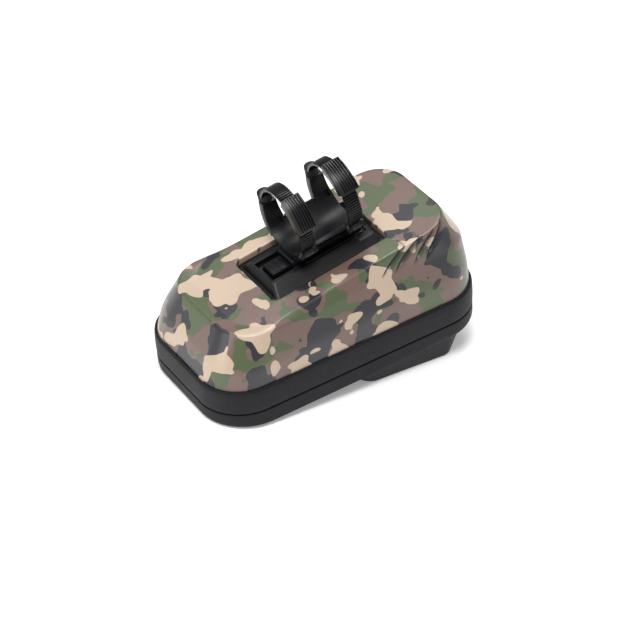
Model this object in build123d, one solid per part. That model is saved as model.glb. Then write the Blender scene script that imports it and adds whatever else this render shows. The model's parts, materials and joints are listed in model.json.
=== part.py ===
"""Hard-shell handlebar bag: a moulded shell, a zipped lid below it and a slide-off clamp mount on top.

Millimetres, +Z up. The bag is drawn with the edge of its printed shell level, and then settled
onto the floor, where it leans on the lid's front edge and on the flat of the lid's bulge.
"""
from build123d import *
import os
from math import acos, cos, degrees, hypot, radians, sin, tan

os.makedirs("parts", exist_ok=True)

# ---- case ----
case_length = 236.0          # printed shell at its lower edge, along X
case_width = 125.4           # the same, along Y
corner_radius = 34.6
shoulder_height = 16.0       # where the upright lower wall turns into the sloping one
crease_height = 40.0
crest_height = 50.5          # top rim at X = 0
crest_slope = 0.145          # rise of the top rim per millimetre of X
shoulder_inset = (5.5, 1.2, 1.7)     # at the front end, the back end and each side
crease_inset = (20.0, 3.2, 9.7)
crest_inset = (33.0, 18.5, 14.7)
shell_wall = 2.6
shell_skirt = 6.0            # how far the shell reaches down inside the band
lining_thickness = 0.8

# ---- band, zip and lid ----
band_thickness = 2.3
piping_width = 1.6
piping_height = 1.2
zip_depth = 20.0             # zip line below the shell's edge
zip_gap = 1.2
tape_thickness = 0.8
lower_tape_width = 7.4
coil_width = 1.8
coil_thickness = 1.6
lid_height = 13.0            # lid's flat below the zip line
lid_floor = 2.6
lid_edge_radius = 5.0
lid_edge_inner_radius = 2.4
rest_tilt = 5.9              # lean of the case on the floor, degrees
bulge_top = (104.0, 12.0, 1.2)       # insets at the lid's flat: front end, back end, each side
bulge_bottom = (124.4, 30.0, 2.7)    # insets at the foot
bulge_top_radius = 24.0
bulge_bottom_radius = 10.0
hinge_end_gap = 3.4          # from the corner's round to the strip's end
hinge_strip_thickness = 1.2
pocket_reach = 96.0
pocket_edge_radius = 1.4

# ---- zip slider and pull ----
slider_length = 9.0
slider_height = 8.0
slider_plate = 1.5
slider_gap = 0.35
slider_end_gap = 1.6         # from the corner's round to the slider, at each end of its travel
bail_pin_radius = 0.6
pull_barrel_radius = 1.3
pull_length = 23.0
pull_width = 6.0
pull_thickness = 1.8

# ---- socket plate on the shell's top ----
plate_x = 0.5
plate_drop = 1.8             # plate's datum below the top rim
plate_tilt = 7.85            # degrees, back end up
plate_length = 101.0
plate_width = 57.0
plate_corner = 5.0
plate_thickness = 5.0
flange_top = -2.0
flange_reach = 2.5           # flange beyond the foot of the raised dock
dock_slope = 3.5             # dock's ends lean in by this
deck_wall = 4.4              # dock's top beside the channel
dock_height = 5.6
channel_front_gap = 3.2      # channel's front end beyond the tab's window
channel_back_wall = 1.5
channel_width = 25.2
channel_floor = 1.6
lip_reach = 2.2
lip_front = -20.0
lip_back = 32.0              # the rails stop here, and the dock steps down behind them
step_height = 3.0
gasket_margin = 1.0
gasket_thickness = 0.8
backing_inset = 4.5          # inside the plate's outline, each side
backing_thickness = 2.0
screw_radius = 1.5
screw_head_radius = 2.9
screw_head_height = 1.8
screw_inset_x = 12.5         # inside the plate's outline
screw_inset_y = 8.5

# ---- latch tab ----
tab_length = 17.0
tab_width = 15.0
tab_thickness = 4.4
tab_top = 5.6
tab_back = -21.5
tab_slot = 0.8

# ---- clamp carrier ----
carrier_front = -22.0
carrier_back = 40.0
foot_gap = 0.4
foot_height = 1.5
leg_thickness = 1.8
base_low = 6.4
base_high = 9.4
web_width = 15.0
bore_radius = 24.8
bore_floor = 15.4            # bore's lowest line above the plate's datum
trough_wall = 3.4
trough_half_angle = 58.0
trough_end_angle = 38.0      # trough's near edge where a strap is hinged
ring_fronts = (-20.5, 22.0)
ring_width = 15.0
arm_wall = 6.2
arm_slot_angle = 306.0       # from the bottom of the bore, round by the near side
arm_slot_height = 6.0
arm_slot_width = 10.0
arm_slot_depth = 3.6
arm_taper = 2.2              # each side of an arm narrows by this towards its boss
arm_taper_drop = 16.2        # the narrowing starts this far below the bore's axis
boss_standoff = 5.8          # boss axis outside the bore, on the far side
boss_drop = 4.7              # foot of the boss below the bore's axis
boss_radius = 5.4
boss_length = 13.0
boss_gusset = 15.0           # cone under the boss that runs into the arm
screw_bore = 2.0
set_screw_radius = 1.6
set_screw_length = 10.0
nut_size = 5.6
nut_thickness = 2.6

# ---- straps and grips ----
strap_standoff = 1.0         # strap outside the bore
strap_thickness = 2.2
strap_width = 12.0
strap_tip_angle = 250.0
knuckle_angle = 50.0
knuckle_standoff = 4.4       # pin's axis outside the bore
knuckle_radius = 3.2
knuckle_width = 8.2
pin_radius = 1.3
pin_clearance = 0.05
side_gap = 0.35
grip_gap = 0.4
grip_depth = 8.4             # grip's back outside the bore
grip_half_angle = 26.0
grip_angles = (131.0, 149.0)
grip_wall = 1.1              # beside the strap

# ---- places that follow from the sizes above ----
lid_depth = zip_depth + lid_height
hinge_strip_length = case_length - 2*(corner_radius + hinge_end_gap)
slider_travel = case_width - 2*(corner_radius + slider_end_gap) - slider_length
plate_z = crest_height - plate_drop
dock_length = plate_length - 2*flange_reach
dock_width = plate_width - 2*flange_reach
deck_length = dock_length - 2*dock_slope
deck_width = channel_width + 2*deck_wall
channel_front = tab_back - tab_length - tab_slot - channel_front_gap
channel_back = deck_length/2 - channel_back_wall
backing_length = plate_length - 2*backing_inset
backing_width = plate_width - 2*backing_inset
screw_spacing_x = plate_length - 2*screw_inset_x
screw_spacing_y = plate_width - 2*screw_inset_y
bore_height = bore_radius + bore_floor
boss_orbit = bore_radius + boss_standoff
boss_low = bore_height - boss_drop
arm_taper_low = bore_height - arm_taper_drop
strap_inner = bore_radius + strap_standoff
strap_outer = strap_inner + strap_thickness
knuckle_orbit = bore_radius + knuckle_standoff
grip_outer = bore_radius + grip_depth
grip_width = strap_width + 2*(grip_gap + grip_wall)


def case_block(offset, low, high):
    """Upright block on the case's outline, grown by offset."""
    outline = RectangleRounded(case_length + 2*offset, case_width + 2*offset, corner_radius + offset)
    return Pos(0, 0, low) * extrude(outline, high - low)


def case_ring(outer, inner, low, high):
    return case_block(outer, low, high) - case_block(inner, low, high)


def level(insets, radius, height, slope=0.0):
    """Rounded rectangle inset from the case's outline, on a plane that climbs along X by slope."""
    front, back, side = insets
    left = -case_length/2 + front
    right = case_length/2 - back
    stretch = hypot(1.0, slope)
    plane = Plane(origin=(0, 0, height), x_dir=(1, 0, slope), z_dir=(-slope, 0, 1))
    shape = RectangleRounded((right - left)*stretch, case_width - 2*side, radius)
    return plane * Pos((left + right)/2*stretch, 0) * shape


def grown(insets, by):
    return tuple(inset + by for inset in insets)


def shell_body(inset):
    """Inside of the shell's outer face, moved in by inset."""
    levels = [
        level(grown((0, 0, 0), inset), corner_radius - inset, 0),
        level(grown(shoulder_inset, inset), corner_radius - 2 - inset, shoulder_height),
        level(grown(crease_inset, inset), corner_radius - 6 - inset, crease_height - inset/2),
        level(grown(crest_inset, inset), corner_radius - 8 - inset, crest_height - inset, crest_slope),
    ]
    return loft(levels, ruled=True)


def slab(length, width, low, high, radius, x=0.0):
    """Rounded block in the plate's frame."""
    return Pos(x, 0, low) * extrude(RectangleRounded(length, width, radius), high - low)


def box(x_low, x_high, y_low, y_high, z_low, z_high):
    centre = ((x_low + x_high)/2, (y_low + y_high)/2, (z_low + z_high)/2)
    return Pos(*centre) * Box(x_high - x_low, y_high - y_low, z_high - z_low)


def rod(radius, low, high):
    return Pos(0, 0, (low + high)/2) * Cylinder(radius, high - low)


def corners(spacing_x, spacing_y):
    return [(x*spacing_x/2, y*spacing_y/2) for x in (-1, 1) for y in (-1, 1)]


mount = Location((plate_x, 0, plate_z), (0, -plate_tilt, 0))
recess_low = -plate_thickness - gasket_thickness


def dent(margin):
    """Pocket moulded into the shell's top for the plate, grown by margin."""
    size = (plate_length + 2*(gasket_margin + margin), plate_width + 2*(gasket_margin + margin))
    return mount * slab(*size, recess_low - margin, 30, plate_corner + gasket_margin + margin)


def cavity(inset):
    """Hollow inside the shell, down to the skirt's edge."""
    return shell_body(inset) + case_block(-inset, -shell_skirt, 0) - dent(inset)


def at_screws(part):
    return [mount * Pos(x, y, 0) * part for x, y in corners(screw_spacing_x, screw_spacing_y)]


nodes = {}
stack_low = recess_low - shell_wall - lining_thickness
backing_low = stack_low - backing_thickness
screw_shafts = at_screws(rod(screw_radius, backing_low, flange_top - 0.6))

# ---- shell, lining, band and piping ----
shell = shell_body(0) + case_block(0, -shell_skirt, 0) - cavity(shell_wall) - dent(0)
shell -= screw_shafts
nodes["shell"] = shell
lining = cavity(shell_wall) - cavity(shell_wall + lining_thickness)
lining -= screw_shafts
nodes["shell_lining"] = lining
band_low = -zip_depth + zip_gap/2
lid_high = -zip_depth - zip_gap/2
band = case_ring(band_thickness, 0, band_low, 0)
nodes["side_band"] = band
nodes["edge_piping"] = case_ring(piping_width, 0, 0, piping_height)

# ---- zip ----
coil_outer = -tape_thickness
coil_inner = -tape_thickness - coil_thickness
nodes["upper_zip_tape"] = case_ring(0, coil_outer, band_low, -shell_skirt)
nodes["upper_zip_coil"] = case_ring(coil_outer, coil_inner, band_low, band_low + coil_width)
tape_low = lid_high - lower_tape_width
nodes["lower_zip_tape"] = case_ring(0, coil_outer, tape_low, lid_high)
nodes["lower_zip_coil"] = case_ring(coil_outer, coil_inner, lid_high - coil_width, lid_high)

# ---- lid with its bulge ----
rest_slope = tan(radians(rest_tilt))
lid_front = -case_length/2 - band_thickness + lid_edge_radius
edge_low = (lid_front - lid_edge_radius*sin(radians(rest_tilt)),
            -lid_depth + lid_edge_radius - lid_edge_radius*cos(radians(rest_tilt)))
rest_height = edge_low[1] + edge_low[0]*rest_slope      # floor under X = 0, in the case's frame


def bulge(inset, start):
    levels = [
        level(grown(bulge_bottom, inset), bulge_bottom_radius - inset, rest_height + inset, -rest_slope),
        level(grown(bulge_top, inset), bulge_top_radius - inset, start),
    ]
    return loft(levels, ruled=True)


def tray(offset, low, high, radius):
    body = case_block(offset, low, high)
    return fillet(body.edges().group_by(Axis.Z)[0], radius)


lid_outer = tray(band_thickness, -lid_depth, lid_high, lid_edge_radius) + bulge(0, -lid_depth + 1)
lid_hollow = tray(0, -lid_depth + lid_floor, lid_high, lid_edge_inner_radius)
lid_hollow += bulge(lid_floor, -lid_depth + lid_floor + 0.5)
lid = lid_outer - lid_hollow
nodes["lid"] = lid
lining_hollow = tray(-lining_thickness, -lid_depth + lid_floor + lining_thickness, lid_high,
                     lid_edge_inner_radius - lining_thickness)
lining_hollow += bulge(lid_floor + lining_thickness, -lid_depth + lid_floor + lining_thickness + 0.5)
nodes["lid_lining"] = lid_hollow - lining_hollow - case_block(1, tape_low, 0)

# ---- fabric hinge along the far side ----
far_face = case_width/2 + band_thickness
hinge_half = hinge_strip_length/2
strip_outer = far_face + hinge_strip_thickness
nodes["hinge_fabric"] = box(-hinge_half, hinge_half, far_face, strip_outer, band_low, -4)
nodes["hinge_fabric_lower"] = box(-hinge_half, hinge_half, far_face, strip_outer,
                                  -lid_depth + lid_edge_radius, lid_high - 0.6)

# ---- mesh pocket in the lid ----
pocket_high = lid_high - coil_width - pocket_edge_radius - 0.4
pocket_left = -case_length/2 + tape_thickness
pocket_half = case_width/2 - tape_thickness
pocket_shape = case_block(-tape_thickness - 0.1, pocket_high - 0.8, pocket_high)
pocket_window = box(pocket_left, pocket_left + pocket_reach, -pocket_half, pocket_half, -60, 0)
nodes["mesh_pocket"] = pocket_shape & pocket_window
elastic = Rot(90, 0, 0) * Cylinder(pocket_edge_radius, 2*pocket_half - 1)
nodes["pocket_elastic"] = Pos(pocket_left + pocket_reach + pocket_edge_radius, 0, pocket_high) * elastic

# ---- zip slider and pull, on the back end's straight run ----
end_face = case_length/2 + band_thickness
slider_y = slider_travel/2
front_face = end_face + slider_gap + slider_plate
pull_x = front_face + pull_barrel_radius + 0.3
half_length = slider_length/2
half_height = slider_height/2
back_face = case_length/2 + coil_inner - slider_gap
slider = box(end_face + slider_gap, front_face, -half_length, half_length, -half_height, half_height)
slider += box(back_face - 1.2, back_face, -half_length + 0.5, half_length - 0.5, -3.4, 3.4)
slider += box(back_face - 0.5, front_face - 0.5, -2, 2, -0.25, 0.25)
bail_height = pull_width/2 + 0.3
for side in (-1, 1):
    ear = box(front_face - 0.2, pull_x + 1.1, -1.3, 1.3, bail_height, bail_height + 0.9)
    slider += ear if side > 0 else mirror(ear, Plane.XY)
slider += Pos(pull_x, 0, 0) * rod(bail_pin_radius, -bail_height - 0.4, bail_height + 0.4)
slider_place = Pos(0, slider_y, -zip_depth)
nodes["zip_slider"] = slider_place * slider
pull = rod(pull_barrel_radius, -pull_width/2, pull_width/2)
pull += box(-pull_thickness/2, pull_thickness/2, -pull_length, 0, -pull_width/2, pull_width/2)
pull -= rod(bail_pin_radius + pin_clearance, -pull_width, pull_width)
nodes["zip_pull"] = slider_place * Pos(pull_x, 0, 0) * pull
stop_y = case_width/2 + coil_inner - 1
nodes["zip_end_stops"] = Part() + [
    box(x - 2, x + 2, stop_y, stop_y + 1, band_low, band_low + 5) for x in (-hinge_half, hinge_half)]

# ---- socket plate, gasket, backing plate and screws ----
flange = slab(plate_length, plate_width, -plate_thickness, flange_top, plate_corner)
dock_foot = Pos(0, 0, flange_top - 0.5) * RectangleRounded(dock_length, dock_width, plate_corner - 2)
deck = Pos(0, 0, dock_height) * RectangleRounded(deck_length, deck_width, plate_corner - 2)
dock = loft([dock_foot, deck], ruled=True)
half_channel = channel_width/2
channel = box(channel_front, channel_back, -half_channel, half_channel, channel_floor, 10)
step = box(lip_back, plate_length, -plate_width, plate_width, step_height, 10)
plate = flange + dock - step - channel
lip_low = channel_floor + foot_gap + foot_height + foot_gap
for side in (-1, 1):
    lip = sorted((side*(half_channel - lip_reach), side*(half_channel + 1)))
    plate += box(lip_front, lip_back, *lip, lip_low, dock_height)
tab_front = tab_back - tab_length
tab_hinge = (tab_back, tab_top - tab_thickness)
tab_window = box(tab_front - tab_slot, tab_back + tab_slot, -tab_width/2 - tab_slot,
                 tab_width/2 + tab_slot, -plate_thickness + 0.8, 10)
plate -= tab_window
screw_places = corners(screw_spacing_x, screw_spacing_y)
plate -= [Pos(x, y) * rod(screw_radius, -10, flange_top - 0.6) for x, y in screw_places]
nodes["socket_plate"] = mount * plate
gasket = slab(plate_length + 2*gasket_margin, plate_width + 2*gasket_margin, recess_low,
              -plate_thickness, plate_corner + gasket_margin)
nodes["plate_gasket"] = mount * gasket - screw_shafts
backing = slab(backing_length, backing_width, backing_low, stack_low, 4)
nodes["backing_plate"] = mount * backing - screw_shafts
screw = rod(screw_radius, backing_low, flange_top - 0.6)
screw += rod(screw_head_radius, backing_low - screw_head_height, backing_low)
nodes["plate_screws"] = Part() + at_screws(screw)

# ---- latch tab: a flexing tongue with a ridged pad ----
tab = box(tab_front, tab_back, -tab_width/2, tab_width/2, tab_top - tab_thickness, tab_top)
tab = chamfer(tab.edges().group_by(Axis.Z)[-1], 0.7)
nodes["latch_tab"] = mount * tab

# ---- carrier with its trough, arms and bosses ----
ring_plane = Location(Plane(origin=(0, 0, 0), x_dir=(0, 1, 0), z_dir=(1, 0, 0)))


def ring_frame(u):
    """Frame on the bore's axis at u, with local x to the far side, local y up and local z along the bore."""
    return Pos(u, 0, bore_height) * ring_plane


def sector(inner, outer, start, end):
    """Ring sector between two angles, from the bottom of the bore and round by the near side."""
    first = -90 - end
    arcs = [CenterArc((0, 0), radius, first, end - start) for radius in (inner, outer)]
    ends = [Line(arcs[0] @ t, arcs[1] @ t) for t in (0, 1)]
    return make_face(arcs + ends)


def arc_block(inner, outer, start, end, u_low, u_high):
    return ring_frame(u_low) * extrude(sector(inner, outer, start, end), u_high - u_low)


def round_point(radius, angle):
    """Place across the bore: distance to the far side and height above the plate's datum."""
    return -radius*sin(radians(angle)), bore_height - radius*cos(radians(angle))


trough_outer = bore_radius + trough_wall
leg_outer = half_channel - lip_reach - foot_gap
leg_inner = leg_outer - leg_thickness
foot_low = channel_floor + foot_gap
foot_outer = half_channel - foot_gap
carrier = box(carrier_front, carrier_back, -leg_outer, leg_outer, base_low, base_high)
carrier = chamfer(carrier.edges().group_by(Axis.Z)[-1], 1.0)
for side in (-1, 1):
    ends = sorted((side*leg_inner, side*foot_outer))
    carrier += box(carrier_front, carrier_back, *ends, foot_low, foot_low + foot_height)
    ends = sorted((side*leg_inner, side*leg_outer))
    carrier += box(carrier_front, carrier_back, *ends, foot_low, base_low + 1)
web_high = bore_height - bore_radius - 1
carrier += box(carrier_front + 2, carrier_back - 2, -web_width/2, web_width/2, base_high - 1, web_high)
between = (ring_fronts[0] + ring_width, ring_fronts[1])
carrier += arc_block(bore_radius, trough_outer, -trough_half_angle, trough_half_angle, *between)
pin_y, pin_z = round_point(knuckle_orbit, knuckle_angle)
boss_y = boss_orbit
boss_high = boss_low + boss_length
boss_mid = (boss_low + boss_high)/2
arm_top = 360 - degrees(acos((bore_height - boss_mid)/boss_orbit))
bore_cut = ring_frame(-60) * extrude(Circle(bore_radius), 140)
nut_low = boss_mid - nut_thickness/2
for front in ring_fronts:
    middle = front + ring_width/2
    ring_ends = (front, front + ring_width)
    carrier += arc_block(bore_radius, trough_outer, -trough_half_angle, trough_end_angle, *ring_ends)
    carrier += arc_block(bore_radius, bore_radius + arm_wall, arm_top, 360 - trough_end_angle, *ring_ends)
    slot_half = degrees(arm_slot_height/2/bore_radius)
    carrier -= arc_block(bore_radius - 1, bore_radius + arm_slot_depth, arm_slot_angle - slot_half,
                         arm_slot_angle + slot_half, middle - arm_slot_width/2, middle + arm_slot_width/2)
    for side in (-1, 1):
        edge = side*ring_width/2
        taper = Polyline((edge, arm_taper_low), (edge + side, arm_taper_low), (edge + side, boss_high),
                         (edge - side*arm_taper, boss_high), close=True)
        wedge = extrude(Plane.XZ * make_face(taper), -60)
        carrier -= Pos(middle, 2, 0) * wedge
    carrier += Pos(middle, boss_y, 0) * rod(boss_radius, boss_low, boss_high)
    gusset = Cone(boss_radius/4, boss_radius, boss_gusset)
    carrier += Pos(middle, boss_y, boss_low - boss_gusset/2) * gusset
    ear_width = (ring_width - knuckle_width)/2 - side_gap
    for u in (front, front + ring_width - ear_width):
        ear = Pos(u + ear_width/2, pin_y, pin_z) * Rot(0, 90, 0) * Cylinder(knuckle_radius, ear_width)
        web = arc_block(trough_outer - 1.5, knuckle_orbit + 1, 20, knuckle_angle, u, u + ear_width)
        carrier += ear + web
    carrier -= Pos(middle, boss_y, 0) * rod(set_screw_radius + pin_clearance, boss_low - 1, boss_high)
    carrier -= Pos(middle, boss_y, 0) * rod(screw_bore, nut_low, boss_high + 1)
    half_nut = nut_size/2
    carrier -= box(middle - half_nut, middle + half_nut, boss_y - half_nut, boss_y + boss_radius + 1,
                   nut_low, nut_low + nut_thickness)
    carrier -= Pos(middle, pin_y, pin_z) * Rot(0, 90, 0) * Cylinder(pin_radius, 2*ring_width)
carrier -= bore_cut
nodes["clamp_carrier"] = mount * carrier

# ---- straps, pins, grips, set screws and nuts ----
for name, front, grip_angle in zip(("front", "rear"), ring_fronts, grip_angles):
    middle = front + ring_width/2
    strap_ends = (middle - strap_width/2, middle + strap_width/2)
    knuckle_ends = (middle - knuckle_width/2, middle + knuckle_width/2)
    knuckle = Rot(0, 90, 0) * Cylinder(knuckle_radius, knuckle_width)
    strap = arc_block(strap_inner, strap_outer, knuckle_angle + 14, strap_tip_angle, *strap_ends)
    strap += arc_block(strap_inner, strap_outer, knuckle_angle, knuckle_angle + 15, *knuckle_ends)
    strap += Pos(middle, pin_y, pin_z) * knuckle
    strap -= Pos(middle, pin_y, pin_z) * Rot(0, 90, 0) * Cylinder(pin_radius + pin_clearance, 2*ring_width)
    strap -= bore_cut
    nodes[f"{name}_strap"] = mount * strap
    pin = Pos(middle, pin_y, pin_z) * Rot(0, 90, 0) * Cylinder(pin_radius, ring_width)
    nodes[f"{name}_strap_pin"] = mount * pin
    grip_span = (grip_angle - grip_half_angle, grip_angle + grip_half_angle)
    grip_ends = (middle - grip_width/2, middle + grip_width/2)
    tunnel_half = strap_width/2 + grip_gap
    grip = arc_block(bore_radius, grip_outer, *grip_span, *grip_ends)
    grip -= arc_block(strap_inner - grip_gap, strap_outer + grip_gap, 0, 300,
                      middle - tunnel_half, middle + tunnel_half)
    nodes[f"{name}_grip"] = mount * grip
    boss_axis = Pos(middle, boss_y, 0)
    screw = rod(set_screw_radius, boss_low, boss_low + set_screw_length)
    socket = Pos(0, 0, boss_low + set_screw_length - 2) * extrude(RegularPolygon(1.1, 6), 2)
    nodes[f"{name}_set_screw"] = mount * boss_axis * (screw - socket)
    nut = box(-half_nut, half_nut, -half_nut, half_nut, nut_low, nut_low + nut_thickness)
    nut -= rod(set_screw_radius + pin_clearance, nut_low - 1, nut_low + nut_thickness + 1)
    nodes[f"{name}_nut"] = mount * boss_axis * nut

# ---- settle the whole bag onto the floor, origin at the bottom centre of its box ----
lean = Rot(0, -rest_tilt, 0)
whole = Compound(children=[lean * part for part in nodes.values()]).bounding_box()
settle = Pos(-(whole.min.X + whole.max.X)/2, -(whole.min.Y + whole.max.Y)/2, -whole.min.Z) * lean
for name, part in nodes.items():
    export_step(settle * part, f"parts/{name}.step")
print(len(nodes), "nodes", whole.size)
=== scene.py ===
"""Looks of a hard-shell handlebar bag: printed shell, fabric band, zipped lid, socket plate and ring clamps.

Pieces are drawn in millimetres, in the bag's own frame (CASE) or the plate's frame (PLATE), and then placed
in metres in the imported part's frame.
"""
import json
from functools import lru_cache
from math import cos, pi, radians, sin, tan

import bmesh
import bpy
from mathutils import Matrix, Vector


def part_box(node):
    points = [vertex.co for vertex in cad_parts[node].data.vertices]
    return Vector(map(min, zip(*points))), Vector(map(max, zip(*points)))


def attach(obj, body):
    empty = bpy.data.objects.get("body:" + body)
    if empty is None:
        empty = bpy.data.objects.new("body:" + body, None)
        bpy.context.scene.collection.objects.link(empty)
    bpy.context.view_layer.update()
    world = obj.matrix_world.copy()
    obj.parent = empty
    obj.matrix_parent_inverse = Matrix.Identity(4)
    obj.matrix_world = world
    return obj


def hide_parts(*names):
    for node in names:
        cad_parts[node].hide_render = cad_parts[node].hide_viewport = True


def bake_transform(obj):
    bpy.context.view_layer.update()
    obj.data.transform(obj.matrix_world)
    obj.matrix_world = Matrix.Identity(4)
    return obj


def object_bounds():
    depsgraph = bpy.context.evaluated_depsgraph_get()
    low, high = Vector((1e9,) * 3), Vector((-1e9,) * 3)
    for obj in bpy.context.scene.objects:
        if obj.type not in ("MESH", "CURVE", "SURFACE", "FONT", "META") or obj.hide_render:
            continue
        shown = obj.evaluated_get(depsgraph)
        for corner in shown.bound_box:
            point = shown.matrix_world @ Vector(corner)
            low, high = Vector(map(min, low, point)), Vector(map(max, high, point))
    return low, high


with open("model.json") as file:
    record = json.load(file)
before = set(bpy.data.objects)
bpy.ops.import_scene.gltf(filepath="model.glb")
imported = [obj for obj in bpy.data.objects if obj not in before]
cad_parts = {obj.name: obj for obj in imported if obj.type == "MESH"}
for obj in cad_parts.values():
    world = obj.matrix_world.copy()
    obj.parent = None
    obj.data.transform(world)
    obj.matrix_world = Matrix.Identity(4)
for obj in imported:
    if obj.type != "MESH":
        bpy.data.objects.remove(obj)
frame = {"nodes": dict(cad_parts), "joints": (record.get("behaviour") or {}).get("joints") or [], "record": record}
cad_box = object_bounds()

# ---- sizes that the looks share with the part, in millimetres ----
CASE_LENGTH = 236.0
CASE_WIDTH = 125.4
CORNER = 34.6
SHOULDER = ((5.5, 1.2, 1.7), 16.0)        # insets at the front, the back and each side, and the height
CREASE = ((20.0, 3.2, 9.7), 40.0)
CREST = ((33.0, 18.5, 14.7), 50.5)
CREST_SLOPE = 0.145
SHELL_SKIRT = 6.0
BAND = 2.3
BAND_LOW = -19.4
LID_HIGH = -20.6
LID_DEPTH = 33.0
LID_EDGE = 5.0
REST_TILT = radians(5.9)
BULGE_TOP = (104.0, 12.0, 1.2)
BULGE_BOTTOM = (124.4, 30.0, 2.7)
BULGE_TOP_CORNER = 24.0
BULGE_BOTTOM_CORNER = 10.0
HINGE_Y = CASE_WIDTH/2 + BAND + 0.6
HINGE_Z = -20.0
HINGE_HALF = 80.0            # half the length of the fabric hinge
HINGE_TOP = -4.0
TOOTH_PITCH = 1.5            # zip teeth along the case's outline
POCKET_INSET = 0.95          # net pocket's edge inside the case's outline
POCKET_REACH = 96.0
PLATE_LENGTH = 101.0
PLATE_WIDTH = 57.0
DOCK_TOP = 5.6
RING_FRONTS = {"front": -20.5, "rear": 22.0}
RING_WIDTH = 15.0
BORE_HEIGHT = 40.2
STRAP_INNER = 25.8
STRAP_OUTER = 28.0
STRAP_HALF = 6.0
STRAP_TIP = 250.0
NOTCH_PITCH = 4.4            # cross teeth of the strap, in degrees
NOTCH_DEPTH = 1.25
LEAF_HALF = 4.1              # half the width of the strap's end at its hinge
KNUCKLE_ANGLE = 50.0
KNUCKLE_ORBIT = 29.2
KNUCKLE_RADIUS = 3.2
GRIP_OUTER = 33.2
GRIP_ANGLES = {"front": 131.0, "rear": 149.0}
RIBS = 7                     # ribs on a grip's back
RIB_PITCH = 2.1
RIB_HEIGHT = 1.4
MM = 0.001

joints = {joint["name"]: joint for joint in frame["joints"]}
mounts = {mount["name"]: mount for mount in frame["record"]["mounts"]}


def frame_at(point, along, local):
    """Millimetre frame that has its X along the given way and its local point at the given place."""
    x = Vector(along).normalized()
    y = Vector((0, 1, 0))
    turn = Matrix((x, y, x.cross(y))).transposed().to_4x4()
    return Matrix.Translation(point) @ turn @ Matrix.Scale(MM, 4) @ Matrix.Translation(-Vector(local))


CASE = frame_at(joints["lid_hinge"]["pos_m"], joints["lid_hinge"]["axis"], (0, HINGE_Y, HINGE_Z))
clamp_middle = (RING_FRONTS["front"] + RING_FRONTS["rear"] + RING_WIDTH)/2
PLATE = frame_at(mounts["bar_clamp"]["pos_m"], mounts["bar_clamp"]["axis"], (clamp_middle, 0, BORE_HEIGHT))
PLATE_IN_CASE = CASE.inverted() @ PLATE


# ---- materials ----
# painted shade: the printed film darkens its colour by this attribute, in place of the shadow inside the grooves
GROOVE_SHADE = "groove_shade"        # attribute that says how deep a point of the shell lies in a groove, from 0 to 1


def srgb(red, green, blue):
    """Colour on a 0 to 255 screen scale as linear values."""
    return tuple(((c/255 + 0.055)/1.055)**2.4 if c > 10 else c/3295 for c in (red, green, blue)) + (1.0,)


class Value:
    """A socket whose number varies over a surface. Arithmetic on it adds Math nodes."""

    def __init__(self, finish, socket):
        self.finish = finish
        self.socket = socket

    def math(self, operation, *terms):
        return self.finish.add("ShaderNodeMath", {"operation": operation}, dict(enumerate(terms)))

    def __add__(self, other):
        return self.math("ADD", self, other)

    def __sub__(self, other):
        return self.math("SUBTRACT", self, other)

    def __rsub__(self, other):
        return self.math("SUBTRACT", other, self)

    def __mul__(self, other):
        return self.math("MULTIPLY", self, other)

    __radd__ = __add__
    __rmul__ = __mul__

    def sine(self):
        return self.math("SINE", self)

    def size(self):
        return self.math("ABSOLUTE", self)

    def step(self, edge, sharpness):
        """0 below the edge and 1 above it, over a band that narrows as sharpness grows."""
        raised = (self - edge)*sharpness + 0.5
        return self.finish.add("ShaderNodeClamp", {}, {"Value": raised})


class Finish:
    """A Principled material whose patterns lie on Object coordinates."""

    def __init__(self, name, colour, roughness, **fixed):
        self.material = bpy.data.materials.new(name)
        self.material.use_nodes = True
        self.tree = self.material.node_tree
        self.shader = self.tree.nodes["Principled BSDF"]
        self.place = self.add("ShaderNodeTexCoord", {}, {}, "Object")
        self.set("Base Color", colour)
        self.set("Roughness", roughness)
        for socket, value in fixed.items():
            self.set(socket.replace("_", " "), value)

    def set(self, socket, value):
        self.feed(self.shader.inputs[socket], value)

    def feed(self, socket, value):
        if isinstance(value, Value):
            self.tree.links.new(value.socket, socket)
        else:
            socket.default_value = value

    def add(self, kind, settings, inputs, output=0):
        node = self.tree.nodes.new(kind)
        for name, value in settings.items():
            setattr(node, name, value)
        for name, value in inputs.items():
            self.feed(node.inputs[name], value)
        return Value(self, node.outputs[output])

    def noise(self, scale, detail=2.0, roughness=0.5, distortion=0.0, where=None, output="Fac"):
        inputs = {"Vector": where or self.place, "Scale": scale, "Detail": detail,
                  "Roughness": roughness, "Distortion": distortion}
        return self.add("ShaderNodeTexNoise", {}, inputs, output)

    def vector(self, operation, first, second):
        return self.add("ShaderNodeVectorMath", {"operation": operation}, {0: first, 1: second})

    def mix(self, factor, first, second):
        return self.add("ShaderNodeMix", {"data_type": "RGBA"}, {0: factor, 6: first, 7: second}, 2)

    def axes(self):
        split = self.add("ShaderNodeSeparateXYZ", {}, {0: self.place})
        return [Value(self, socket) for socket in split.socket.node.outputs]

    def relief(self, height, depth):
        """Bump of the given depth in millimetres where height goes from 0 to 1."""
        inputs = {"Height": height, "Distance": depth*MM, "Strength": 1.0}
        self.set("Normal", self.add("ShaderNodeBump", {}, inputs))


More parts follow.
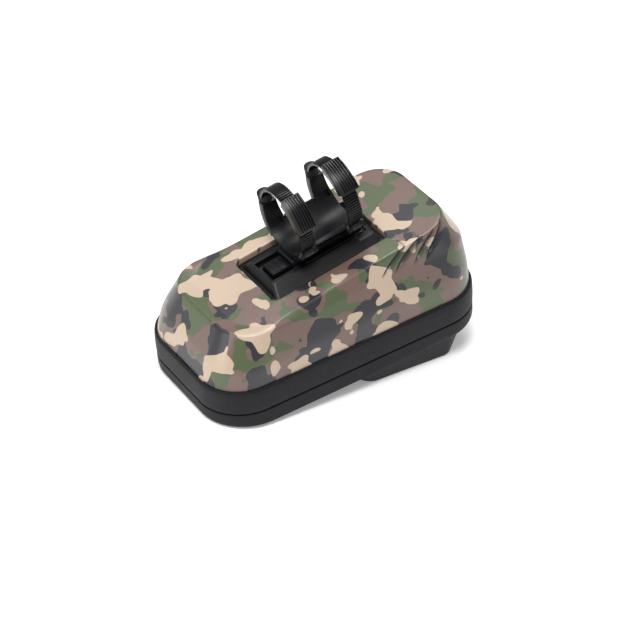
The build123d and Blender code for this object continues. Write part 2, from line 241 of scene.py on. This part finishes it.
def printed_film():
    """Four-colour woodland print: lobed patches laid over each other on a lightly grained satin film, with painted
    shade darkening the grooves.
    """
    brown = srgb(112, 90, 82)
    green = (srgb(78, 90, 60), 3.1, 0.548)
    charcoal = (srgb(37, 37, 44), 7.7, 0.58)
    beige = (srgb(192, 171, 149), 12.9, 0.597)
    film = Finish("printed_film", brown, 0.34, Coat_Weight=0.25, Coat_Roughness=0.22)
    swirl = film.vector("SUBTRACT", film.noise(55, 0, output="Color"), (0.5, 0.5, 0.5))
    swirl = film.vector("MULTIPLY", swirl, (0.012, 0.012, 0.012))
    bent = film.vector("ADD", film.place, swirl)
    stretched = film.vector("MULTIPLY", bent, (0.85, 1.0, 1.1))
    mottle = film.noise(180, 3)
    colour = film.mix(mottle.step(0.5, 2)*0.10, brown, srgb(88, 71, 66))
    for ink, offset, edge in (green, charcoal, beige):
        moved = film.vector("ADD", stretched, (offset, offset*0.37, -offset*0.61))
        patch = film.noise(44, 0, where=moved)
        lobes = film.add("ShaderNodeTexVoronoi", {"feature": "SMOOTH_F1"},
                         {"Vector": moved, "Scale": 100, "Smoothness": 0.45, "Randomness": 1.0})
        spread = patch + (0.5 - lobes)*0.3
        colour = film.mix(spread.step(edge, 130), colour, ink)
    shade = film.noise(14, 2).step(0.5, 1.2)*0.10
    colour = film.mix(shade, colour, srgb(70, 62, 60))
    # painted shade: colour darkened toward near black where the shell sinks into a groove, in place of the shadow
    # inside it
    groove_shade = film.add("ShaderNodeAttribute", {"attribute_name": GROOVE_SHADE}, {}, "Fac")
    film.set("Base Color", film.mix(groove_shade*0.82, colour, srgb(24, 24, 28)))
    film.set("Roughness", 0.27 + film.noise(90, 3)*0.14)
    film.relief(film.noise(900, 2)*0.35 + film.noise(70, 2)*0.65, 0.10)
    return film.material


def woven(name, light, dark, pitch, depth, roughness, sheen=0.25, patch=0.0):
    """Plain weave of the given thread pitch in millimetres, with a slight drift in tone."""
    cloth = Finish(name, light, roughness, Sheen_Weight=sheen, Sheen_Roughness=0.5, Specular_IOR_Level=0.22)
    x, y, z = cloth.axes()
    turn = 2*pi/(pitch*MM)
    warp = ((x + y)*turn).sine()
    weft = ((z + (x - y)*0.5)*turn).sine()
    weave = warp*weft*0.5 + 0.5
    drift = cloth.noise(45, 3)
    tone = cloth.mix(drift.step(0.5, 2.5), light, dark)
    cloth.set("Base Color", cloth.mix(weave*0.35, tone, dark))
    cloth.set("Roughness", (roughness - 0.08) + cloth.noise(400, 2)*0.16)
    cloth.relief(weave*0.7 + drift*(0.3 + patch), depth)
    return cloth.material


def carbon_relief():
    """Coated fabric of the bulge, embossed with a small diamond pattern."""
    cloth = Finish("embossed_fabric", srgb(22, 22, 26), 0.5, Specular_IOR_Level=0.3)
    x, y, z = cloth.axes()
    turn = pi/(2.4*MM)
    along = x + y*0.6
    lattice = ((along + z)*turn).sine()*((along - z)*turn).sine()
    lattice = lattice.size()
    cloth.set("Base Color", cloth.mix(lattice.step(0.25, 3), srgb(12, 12, 15), srgb(34, 33, 38)))
    cloth.set("Roughness", 0.42 + cloth.noise(300, 2)*0.2)
    cloth.relief(lattice*0.8 + cloth.noise(1200, 2)*0.2, 0.22)
    return cloth.material


def moulded(name, colour, roughness, grain=0.03, **fixed):
    """Moulded nylon or rubber: fine spark grain, faint flow marks and handling marks."""
    plastic = Finish(name, colour, roughness, **fixed)
    marks = plastic.noise(60, 4, 0.6)
    lighter = tuple(c*1.7 + 0.003 for c in colour[:3]) + (1.0,)
    plastic.set("Base Color", plastic.mix(marks.step(0.6, 4)*0.5, colour, lighter))
    plastic.set("Roughness", (roughness - 0.08) + marks*0.10 + plastic.noise(700, 2)*0.08)
    plastic.relief(plastic.noise(2200, 1)*0.6 + plastic.noise(160, 2)*0.4, grain)
    return plastic.material


def metal(name, colour, roughness):
    """Plated steel with fine drawing lines and faint stains."""
    steel = Finish(name, colour, roughness, Metallic=1.0)
    lines = steel.noise(300, 2, where=steel.vector("MULTIPLY", steel.place, (1.0, 8.0, 8.0)))
    dull = tuple(c*0.6 for c in colour[:3]) + (1.0,)
    steel.set("Base Color", steel.mix(steel.noise(240, 3).step(0.55, 4)*0.4, colour, dull))
    steel.set("Roughness", (roughness - 0.06) + lines*0.16)
    steel.relief(lines, 0.015)
    return steel.material


def knit(name):
    """Open knit: small round holes through a fine black net."""
    net = Finish(name, srgb(34, 34, 37), 0.7, Sheen_Weight=0.2)
    x, y = net.axes()[:2]
    turn = 2*pi/(2.2*MM)
    holes = (x*turn).sine()*(y*turn).sine()
    rim = holes.size()
    net.set("Alpha", 1.0 - rim.step(0.42, 12))
    net.set("Base Color", net.mix(rim.step(0.3, 4), srgb(46, 46, 50), srgb(22, 22, 24)))
    net.relief(1.0 - rim, 0.15)
    return net.material


FILM = printed_film()
FABRIC = woven("coated_fabric", srgb(28, 27, 31), srgb(20, 19, 23), 0.7, 0.07, 0.62, 0.03)
EMBOSSED = carbon_relief()
LINING = woven("brushed_lining", srgb(64, 64, 68), srgb(48, 48, 52), 1.1, 0.12, 0.85, 0.5, 0.2)
TAPE = woven("zip_tape", srgb(38, 38, 41), srgb(26, 26, 28), 1.2, 0.12, 0.75)
THREAD = woven("sewing_thread", srgb(50, 50, 54), srgb(34, 34, 37), 0.35, 0.05, 0.7)
BINDING = woven("edge_binding", srgb(24, 23, 27), srgb(16, 16, 18), 0.9, 0.10, 0.7, 0.03)
NYLON = moulded("black_nylon", srgb(13, 13, 16), 0.36, Specular_IOR_Level=0.26)
SATIN = moulded("satin_nylon", srgb(10, 10, 12), 0.28, 0.004, Specular_IOR_Level=0.5)
COIL = moulded("zip_coil", srgb(24, 24, 26), 0.35, 0.01)
RUBBER = moulded("soft_rubber", srgb(30, 30, 32), 0.66, 0.05)
STEEL = metal("plated_steel", srgb(190, 190, 194), 0.34)
BLACK_STEEL = metal("blackened_steel", srgb(84, 84, 88), 0.38)
NET = knit("open_knit")


# ---- mesh helpers ----
def surface(bm, columns, rows, place):
    """Adds a grid whose points are put by place(s, t), both from 0 to 1. Seams and poles close by merging."""
    made = bmesh.ops.create_grid(bm, x_segments=columns, y_segments=rows, size=1)["verts"]
    for vert in made:
        vert.co = place((vert.co.x + 1)/2, (vert.co.y + 1)/2)
    bmesh.ops.remove_doubles(bm, verts=made, dist=0.004)


def close_ends(bm):
    bmesh.ops.holes_fill(bm, edges=[edge for edge in bm.edges if edge.is_boundary], sides=0)


def bar(bm, low, high, turn=None):
    """Adds a block between two corners."""
    low = Vector(low)
    high = Vector(high)
    shape = Matrix.Translation((low + high)/2) @ Matrix.Diagonal((*(high - low), 1))
    bmesh.ops.create_cube(bm, size=1, matrix=turn @ shape if turn else shape)


def soften(bm, width, segments=2, angle=28):
    """Rounds every edge that is sharper than the angle."""
    sharp = [e for e in bm.edges if e.is_manifold and e.calc_face_angle(0) > radians(angle)]
    bmesh.ops.bevel(bm, geom=sharp, offset=width, offset_type="OFFSET", segments=segments, profile=0.5,
                    affect="EDGES", material=-1, clamp_overlap=True)


def piece(name, bm, place, body, finishes, stands_for=(), smooth=35):
    """Puts a bmesh drawn in a millimetre frame into the scene and lets it ride on its body."""
    if place:
        bmesh.ops.transform(bm, matrix=place, verts=bm.verts)
    mesh = bpy.data.meshes.new(name)
    bm.to_mesh(mesh)
    bm.free()
    mesh.shade_smooth()
    mesh.set_sharp_from_angle(angle=radians(smooth))
    for finish in finishes if isinstance(finishes, tuple) else (finishes,):
        mesh.materials.append(finish)
    thing = bpy.data.objects.new(name, mesh)
    bpy.context.scene.collection.objects.link(thing)
    if body:
        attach(thing, body)
    if stands_for:
        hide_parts(*stands_for)
    return thing


def thicken(thing, thickness):
    """Gives an open skin a wall on its inner side."""
    wall = thing.modifiers.new("wall", "SOLIDIFY")
    wall.thickness = thickness*MM
    wall.offset = -1
    wall.use_quality_normals = True
    wall.use_even_offset = False


def dressed(node, name, body, finish, width=0.35):
    """Copy of a hard CAD piece with its edges rounded, standing for it."""
    bm = bmesh.new()
    bm.from_mesh(frame["nodes"][node].data)
    bmesh.ops.remove_doubles(bm, verts=bm.verts, dist=0.003*MM)
    bmesh.ops.dissolve_limit(bm, angle_limit=radians(0.8), verts=bm.verts, edges=bm.edges)
    soften(bm, width*MM)
    bmesh.ops.triangulate(bm, faces=[face for face in bm.faces if len(face.verts) > 4])
    return piece(name, bm, None, body, finish, (node,))


# ---- outlines and profiles ----
SHARES = (0.07, 0.06, 0.08, 0.08, 0.42, 0.08, 0.08, 0.06, 0.07)


def rounded_outline(left, right, half, radius, s):
    """Point on a rounded rectangle, from the middle of its far side round by the front end."""
    for index, share in enumerate(SHARES):
        if s <= share + 1e-7:
            break
        s -= share
    share_done = s/share
    centres = ((left + radius, half - radius), (left + radius, radius - half),
               (right - radius, radius - half), (right - radius, half - radius))

    def on_corner(corner, turned):
        angle = pi/2*(corner + 1 + turned)
        return Vector((centres[corner][0] + radius*cos(angle), centres[corner][1] + radius*sin(angle)))

    if index % 2:
        return on_corner(index//2, share_done)
    middle = Vector(((left + right)/2, half))
    start = on_corner(index//2 - 1, 1) if index else middle
    end = on_corner(index//2, 0) if index < 8 else middle
    return start.lerp(end, share_done)


def level(insets, radius, height, slope=0.0):
    """Outline of the case at a height, as a function of the share of the way round it."""
    front, back, side = insets

    def at(s):
        x, y = rounded_outline(-CASE_LENGTH/2 + front, CASE_LENGTH/2 - back, CASE_WIDTH/2 - side, radius, s)
        return Vector((x, y, height + slope*x))
    return at


def plate_level(margin, height, radius):
    """Outline round the socket plate, in the case's frame."""
    half_length = PLATE_LENGTH/2 + margin
    half_width = PLATE_WIDTH/2 + margin

    def at(s):
        x, y = rounded_outline(-half_length, half_length, half_width, radius, s)
        return PLATE_IN_CASE @ Vector((x, y, height))
    return at


def soft_path(points, cuts, runs, arc=4):
    """Polyline with each inner corner rounded from its cut, and each run split into a set number of steps."""
    path = [points[0]]
    last = points[0]
    for index in range(1, len(points)):
        corner = points[index]
        inner = index < len(points) - 1
        if inner:
            back = points[index - 1] - corner
            on = points[index + 1] - corner
            start = corner + back.normalized()*min(cuts[index - 1], back.length*0.45)
            end = corner + on.normalized()*min(cuts[index - 1], on.length*0.45)
        else:
            start = corner
        steps = runs[index - 1]
        path += [last.lerp(start, step/steps) for step in range(1, steps + 1)]
        if inner:
            for step in range(1, arc + 1):
                t = step/arc
                path.append(start.lerp(corner, t).lerp(corner.lerp(end, t), t))
            last = end
    return path


def along(path, t):
    """Point at a share t of a path's points."""
    place = t*(len(path) - 1)
    index = min(int(place), len(path) - 2)
    return path[index].lerp(path[index + 1], place - index)


def skin(bm, keys, cuts, runs, columns, shape=None, arc=4):
    """Adds the skin through a list of outlines, with its creases rounded."""
    @lru_cache(maxsize=None)
    def column(s):
        return soft_path([key(s) for key in keys], cuts, runs, arc)

    def place(s, t):
        point = along(column(round(s, 6)), t)
        return shape(point) if shape else point
    rows = sum(runs) + arc*len(cuts)
    surface(bm, columns, rows, place)


# ---- printed shell ----
# each groove's X at its top, its X at its foot, and half its width
GROOVES = ((91.0, 69.0, 2.4), (81.0, 58.0, 2.4), (68.0, 40.5, 3.0), (55.0, 29.0, 2.6))
GROOVE_FOOT = 41.5
GROOVE_DEPTH = 2.6


def groove_share(point):
    """How deep a point lies in one of the slanting grooves of the near side's upper facet, from 0 to 1."""
    deepest = 0.0
    if point.y > -CASE_WIDTH/2 + 26 or not 22 < point.x < 100 or point.z < GROOVE_FOOT - 3:
        return deepest
    for top_x, foot_x, half_width in GROOVES:
        foot = Vector((foot_x, GROOVE_FOOT))
        run = Vector((top_x, CREST[1] + CREST_SLOPE*top_x)) - foot
        offset = Vector((point.x, point.z)) - foot
        share = offset.dot(run)/run.length_squared
        if 0 < share < 1:
            width = half_width*min(1.0, 0.25 + 1.8*share, 0.2 + 3*(1 - share))
            across = (offset.cross(run)/run.length/width + 1)/2
            if 0 < across < 1:
                wall = min(across/0.3, (1 - across)/0.7)
                deepest = max(deepest, wall*min(1.0, 4*share, 8*(1 - share)))
    return deepest


def slashed(point):
    """Sinks the grooves into the shell."""
    return point + Vector((0, 0.97, -0.24))*GROOVE_DEPTH*groove_share(point)


def shell():
    bm = bmesh.new()
    keys = [
        level((0, 0, 0), CORNER, -SHELL_SKIRT),
        level((0, 0, 0), CORNER, 0),
        level(SHOULDER[0], CORNER - 2, SHOULDER[1]),
        level(CREASE[0], CORNER - 6, CREASE[1]),
        level(CREST[0], CORNER - 8, CREST[1], CREST_SLOPE),
        plate_level(1.0, 1.9, 6.0),
        plate_level(0.8, -5.6, 6.0),
    ]
    skin(bm, keys, (2, 5, 1.6, 1.5, 1.2), (1, 3, 9, 20, 14, 8, 2), 440, slashed)
    # painted shade: how dark each point is painted in the grooves, from their depth widened 2.6 times
    groove_shade = bm.verts.layers.float.new(GROOVE_SHADE)
    for vert in bm.verts:
        vert[groove_shade] = min(1.0, 2.6*groove_share(vert.co))
    thing = piece("printed_shell", bm, CASE, "case", FILM, ("shell",), 60)
    thicken(thing, 0.7)


# ---- fabric band, edge binding and zip ----
def hoop(bm, section, cut, columns=200, arc=3):
    """Adds a closed ring: a rounded section, given as offsets from the case's outline and heights."""
    points = [Vector((offset, height, 0)) for offset, height in section]
    start = (points[0] + points[-1])/2
    path = soft_path([start, *points, start], [cut]*len(points), [1]*(len(points) + 1), arc)

    def place(s, t):
        offset, height, _ = along(path, t)
        return level((-offset, -offset, -offset), CORNER + offset, height)(s)
    surface(bm, columns, len(path) - 1, place)


def band():
    bm = bmesh.new()
    section = [(0.3, BAND_LOW), (BAND, BAND_LOW), (BAND + 0.25, BAND_LOW + 6),
               (BAND + 0.2, -6), (BAND - 0.2, 0), (0.3, 0)]
    hoop(bm, section, 0.9, 240)
    piece("side_band_fabric", bm, CASE, "case", FABRIC, ("side_band",), 50)
    bm = bmesh.new()
    hoop(bm, [(0.05, -0.3), (1.6, -0.3), (1.5, 1.1), (0.05, 1.5)], 0.6, 240)
    piece("shell_edge_binding", bm, CASE, "case", BINDING, ("edge_piping",), 60)


def walk(offset, height, pitch):
    """Even places along the case's outline grown by an offset, with the way ahead at each."""
    ring = [level((-offset, -offset, -offset), CORNER + offset, height)(k/3000) for k in range(3001)]
    gone = 0.0
    for here, there in zip(ring, ring[1:]):
        gone += (there - here).length
        if gone >= pitch:
            gone -= pitch
            yield here, (there - here).normalized()


def coil(name, node, body, height):
    """Nylon zip teeth round the bag, except along the fabric hinge."""
    bm = bmesh.new()
    for place, way in walk(-1.6, height, TOOTH_PITCH):
        if place.y > 50 and abs(place.x) < HINGE_HALF - 2:
            continue
        turn = Matrix((way, Vector((0, 0, 1)).cross(way), Vector((0, 0, 1)))).transposed().to_4x4()
        bar(bm, (-0.45, -0.75, -0.9), (0.45, 0.75, 0.9), Matrix.Translation(place) @ turn)
    piece(name, bm, CASE, body, COIL, (node,))


# ---- lid ----
def lid():
    rest_slope = tan(REST_TILT)
    front_x = -CASE_LENGTH/2 - BAND + LID_EDGE - LID_EDGE*sin(REST_TILT)
    foot_height = -LID_DEPTH + LID_EDGE - LID_EDGE*cos(REST_TILT) + front_x*rest_slope
    foot = level(BULGE_BOTTOM, BULGE_BOTTOM_CORNER, foot_height, -rest_slope)
    middle_x = (BULGE_BOTTOM[0] - BULGE_BOTTOM[1])/2
    keys = [
        lambda s: Vector((middle_x, 0, foot_height - rest_slope*middle_x)),
        foot,
        level(BULGE_TOP, BULGE_TOP_CORNER, -LID_DEPTH + 0.2),
        level((-BAND, -BAND, -BAND), CORNER + BAND, -LID_DEPTH),
        level((-BAND, -BAND, -BAND), CORNER + BAND, LID_HIGH),
        level((-0.3, -0.3, -0.3), CORNER + 0.3, LID_HIGH),
    ]
    bm = bmesh.new()
    skin(bm, keys, (2.2, 3, 5.0, 0.8), (5, 8, 6, 4, 1), 240)
    for face in bm.faces:
        if face.calc_center_median().z < -LID_DEPTH - 0.6:
            face.material_index = 1
    thing = piece("lid_fabric", bm, CASE, "lid", (FABRIC, EMBOSSED), ("lid",), 60)
    thicken(thing, 1.5)


def hinge_strip():
    """Fabric hinge along the far side, sewn to the band above it and to the lid below it."""
    foot = -LID_DEPTH + LID_EDGE
    outer = CASE_WIDTH/2 + BAND + 1.2
    bm = bmesh.new()

    def place(s, t):
        height = foot + (HINGE_TOP - foot)*t
        swell = 0.35*sin(pi*t)
        return Vector((HINGE_HALF - 2*HINGE_HALF*s, outer - 0.3 + swell, height))
    surface(bm, 60, 30, place)
    halves = ("hinge_fabric", "hinge_fabric_lower")
    strip = piece("hinge_strip", bm, CASE, None, FABRIC, halves, 60)
    thicken(strip, 0.9)
    bpy.context.view_layer.objects.active = strip
    with bpy.context.temp_override(object=strip, active_object=strip):
        bpy.ops.object.modifier_apply(modifier="wall")
    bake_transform(strip)
    rows = (("upper_hinge_stitches", "case", HINGE_TOP - 2.2), ("lower_hinge_stitches", "lid", foot + 2.2))
    for name, body, height in rows:
        bm = bmesh.new()
        for step in range(52):
            x = -HINGE_HALF + 2.5 + step*3.0
            bar(bm, (x, outer - 0.1, height - 0.3), (x + 2.0, outer + 0.35, height + 0.3))
        soften(bm, 0.12, 1)
        piece(name, bm, CASE, body, THREAD)


def pocket():
    """Net pocket over the front part of the lid; its elastic edge is left to the part's own piece."""
    height = LID_HIGH - 3.6
    left = -CASE_LENGTH/2 + POCKET_INSET
    inner = CORNER - POCKET_INSET
    bm = bmesh.new()

    def place(s, t):
        """Lines across the pocket, from the near wall to the far wall."""
        depth = POCKET_REACH*t
        side = CASE_WIDTH/2 - POCKET_INSET
        if depth < inner:
            side -= inner - (inner**2 - (inner - depth)**2)**0.5
        return Vector((left + depth, (2*s - 1)*side, height - 1.6*sin(pi*s)*min(1.0, 3*t)))
    surface(bm, 40, 48, place)
    net = piece("lid_net_pocket", bm, CASE, "lid", NET, ("mesh_pocket",), 80)


# ---- clamps ----
def ring_point(u, radius, angle):
    """Point in the plate's frame at an angle from the bottom of the bore, round by the near side."""
    return Vector((u, -radius*sin(radians(angle)), BORE_HEIGHT - radius*cos(radians(angle))))


def arc_band(bm, section, start, end, rows, relief=None, closed=True):
    """Adds a closed section swept round the bore. The section's points are offset along it and radius."""
    points = [Vector((u, radius, 0)) for u, radius in section]
    first = (points[0] + points[-1])/2
    path = soft_path([first, *points, first], [0.3]*len(points), [2]*(len(points) + 1), 2)

    def place(s, t):
        u, radius, _ = along(path, s)
        angle = start + (end - start)*t
        if relief:
            radius = relief(u, radius, angle)
        return ring_point(u, radius, angle)
    surface(bm, len(path) - 1, rows, place)
    close_ends(bm)


def toothed(u, radius, angle):
    """Cuts the strap's cross teeth into its outer face."""
    phase = abs((angle/NOTCH_PITCH) % 1 - 0.5)*2
    valley = max(0.0, min(1.0, (phase - 0.35)*3.2))
    return radius - NOTCH_DEPTH*valley if radius > STRAP_OUTER - 0.8 else radius


def strap(name):
    body = f"{name}_strap"
    middle = RING_FRONTS[name] + RING_WIDTH/2
    bm = bmesh.new()
    low = middle - STRAP_HALF
    high = middle + STRAP_HALF
    section = [(high, STRAP_INNER), (low, STRAP_INNER), (low, STRAP_OUTER), (high, STRAP_OUTER)]
    arc_band(bm, section, KNUCKLE_ANGLE + 14, STRAP_TIP, 340, toothed)
    low = middle - LEAF_HALF
    high = middle + LEAF_HALF
    leaf = [(high, STRAP_INNER), (low, STRAP_INNER), (low, STRAP_OUTER), (high, STRAP_OUTER)]
    arc_band(bm, leaf, KNUCKLE_ANGLE - 1, KNUCKLE_ANGLE + 15, 8)
    pin = Matrix.Translation(ring_point(middle, KNUCKLE_ORBIT, KNUCKLE_ANGLE))
    bmesh.ops.create_cone(bm, cap_ends=True, segments=40, radius1=KNUCKLE_RADIUS, radius2=KNUCKLE_RADIUS,
                          depth=2*LEAF_HALF, matrix=pin @ Matrix.Rotation(pi/2, 4, "Y"))
    piece(f"{name}_toothed_strap", bm, PLATE, body, SATIN, (body,), 30)


def grip_ribs(name):
    """Raised ribs that run round the grip's back."""
    middle = RING_FRONTS[name] + RING_WIDTH/2
    angle = GRIP_ANGLES[name]
    bm = bmesh.new()
    for rib in range(RIBS):
        u = middle + (rib - (RIBS - 1)/2)*RIB_PITCH
        section = [(u + 0.6, GRIP_OUTER - 0.2), (u - 0.6, GRIP_OUTER - 0.2),
                   (u - 0.35, GRIP_OUTER + RIB_HEIGHT), (u + 0.35, GRIP_OUTER + RIB_HEIGHT)]
        arc_band(bm, section, angle - 24, angle + 24, 26)
    piece(f"{name}_grip_ribs", bm, PLATE, f"{name}_grip", SATIN)


def plate_rails():
    """Raised rails beside the channel and cross ridges on the latch pad."""
    bm = bmesh.new()
    for side in (-1, 1):
        across = sorted((side*13.6, side*15.4))
        bar(bm, (-13, across[0], DOCK_TOP - 0.3), (29, across[1], DOCK_TOP + 0.9))
    soften(bm, 0.4)
    piece("dock_rails", bm, PLATE, "case", SATIN)
    bm = bmesh.new()
    for step in range(6):
        u = -37.2 + step*1.5
        bar(bm, (u, -6.6, DOCK_TOP - 0.3), (u + 0.7, 6.6, DOCK_TOP + 0.4))
    soften(bm, 0.18)
    piece("latch_pad_ridges", bm, PLATE, "latch_tab", NYLON)


def pull_ridges():
    """Cross ridges on both faces of the zip pull."""
    low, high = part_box("zip_pull")
    bm = bmesh.new()
    into_case = CASE.inverted()
    corners = [into_case @ low, into_case @ high]
    middle = (corners[0] + corners[1])/2
    reach = 23.0
    for step in range(7):
        y = middle.y - reach/2 + 2.2 + step*1.6
        bar(bm, (middle.x - 1.25, y, HINGE_Z - 2.4), (middle.x + 1.25, y + 0.7, HINGE_Z + 2.4))
    soften(bm, 0.2)
    piece("zip_pull_ridges", bm, CASE, "zip_pull", RUBBER)


# ---- build ----
shell()
band()
coil("upper_zip_teeth", "upper_zip_coil", "case", BAND_LOW + 0.9)
coil("lower_zip_teeth", "lower_zip_coil", "lid", LID_HIGH - 0.9)
lid()
hinge_strip()
pocket()
for side in ("front", "rear"):
    strap(side)
    dressed(f"{side}_grip", f"{side}_grip_body", f"{side}_grip", SATIN, 0.6)
    grip_ribs(side)
    dressed(f"{side}_nut", f"{side}_square_nut", "clamp_carrier", STEEL, 0.25)
    screw = f"{side}_set_screw"
    dressed(screw, f"{side}_socket_screw", screw, BLACK_STEEL, 0.12)
    dressed(f"{side}_strap_pin", f"{side}_hinge_pin", "clamp_carrier", STEEL, 0.2)
dressed("socket_plate", "socket_plate_moulding", "case", NYLON, 0.45)
dressed("latch_tab", "latch_tab_moulding", "latch_tab", NYLON, 0.5)
dressed("clamp_carrier", "clamp_carrier_moulding", "clamp_carrier", NYLON, 0.4)
dressed("zip_slider", "zip_slider_casting", "zip_slider", BLACK_STEEL, 0.3)
dressed("zip_pull", "zip_pull_tab", "zip_pull", RUBBER, 0.5)
plate_rails()
pull_ridges()

kept = {
    "shell_lining": LINING, "lid_lining": LINING, "upper_zip_tape": TAPE, "lower_zip_tape": TAPE,
    "pocket_elastic": TAPE, "zip_end_stops": BLACK_STEEL, "plate_gasket": RUBBER, "backing_plate": NYLON,
    "plate_screws": STEEL,
}
for node, finish in kept.items():
    mesh = frame["nodes"][node].data
    mesh.materials.clear()
    mesh.materials.append(finish)

# ---- floor, light and camera ----
floor_bm = bmesh.new()
bmesh.ops.create_grid(floor_bm, x_segments=1, y_segments=1, size=6.0)
floor_mesh = bpy.data.meshes.new("floor")
floor_bm.to_mesh(floor_mesh)
floor_bm.free()
floor = bpy.data.objects.new("floor", floor_mesh)
floor_finish = Finish("pale_floor", (0.93, 0.93, 0.93, 1.0), 0.75, Specular_IOR_Level=0.2,
                      Emission_Color=(1.0, 1.0, 1.0, 1.0), Emission_Strength=0.22)
floor_mesh.materials.append(floor_finish.material)
bpy.context.scene.collection.objects.link(floor)

world = bpy.data.worlds.new("studio")
world.use_nodes = True
world.node_tree.nodes["Background"].inputs["Color"].default_value = (1.0, 1.0, 1.0, 1.0)
world.node_tree.nodes["Background"].inputs["Strength"].default_value = 0.42
bpy.context.scene.world = world
bpy.context.scene.view_settings.view_transform = "Standard"


def softbox(name, place, aim, size, power):
    light = bpy.data.lights.new(name, "AREA")
    light.shape = "RECTANGLE"
    light.size, light.size_y = size
    light.energy = power
    lamp = bpy.data.objects.new(name, light)
    lamp.location = place
    lamp.rotation_mode = "QUATERNION"
    lamp.rotation_quaternion = (Vector(aim) - Vector(place)).to_track_quat("-Z", "Y")
    bpy.context.scene.collection.objects.link(lamp)


bag_centre = (cad_box[0] + cad_box[1])/2
softbox("key", (-0.5, -0.4, 1.5), bag_centre, (0.7, 0.5), 17)
softbox("top", (0.35, 0.6, 1.5), bag_centre, (1.1, 0.4), 12)
softbox("side", (-1.5, 0.1, 0.6), bag_centre, (0.7, 0.9), 5)

# the camera is set in the bag's own frame: swing round it, drop below the horizon, roll, distance and aim
SWING = radians(30.31)
DROP = radians(38.91)
ROLL = radians(-4.01)
DISTANCE = 1686.8
OFF_AXIS = (4.43, -13.80)
LENS = 123.6
ahead = Vector((sin(SWING)*cos(DROP), cos(SWING)*cos(DROP), -sin(DROP)))
level_right = Vector((cos(SWING), -sin(SWING), 0))
right = level_right*cos(ROLL) + level_right.cross(ahead)*sin(ROLL)
up = right.cross(ahead)
stand = right*OFF_AXIS[0] + up*OFF_AXIS[1] - ahead*DISTANCE
turned = CASE.to_3x3().normalized() @ Matrix((right, up, -ahead)).transposed()
camera = bpy.data.objects.new("camera", bpy.data.cameras.new("camera"))
camera.data.lens = LENS
camera.data.sensor_width = 36.0
camera.data.clip_end = 50.0
camera.location = CASE @ stand
camera.rotation_mode = "QUATERNION"
camera.rotation_quaternion = turned.to_quaternion()
bpy.context.scene.collection.objects.link(camera)
bpy.context.scene.camera = camera
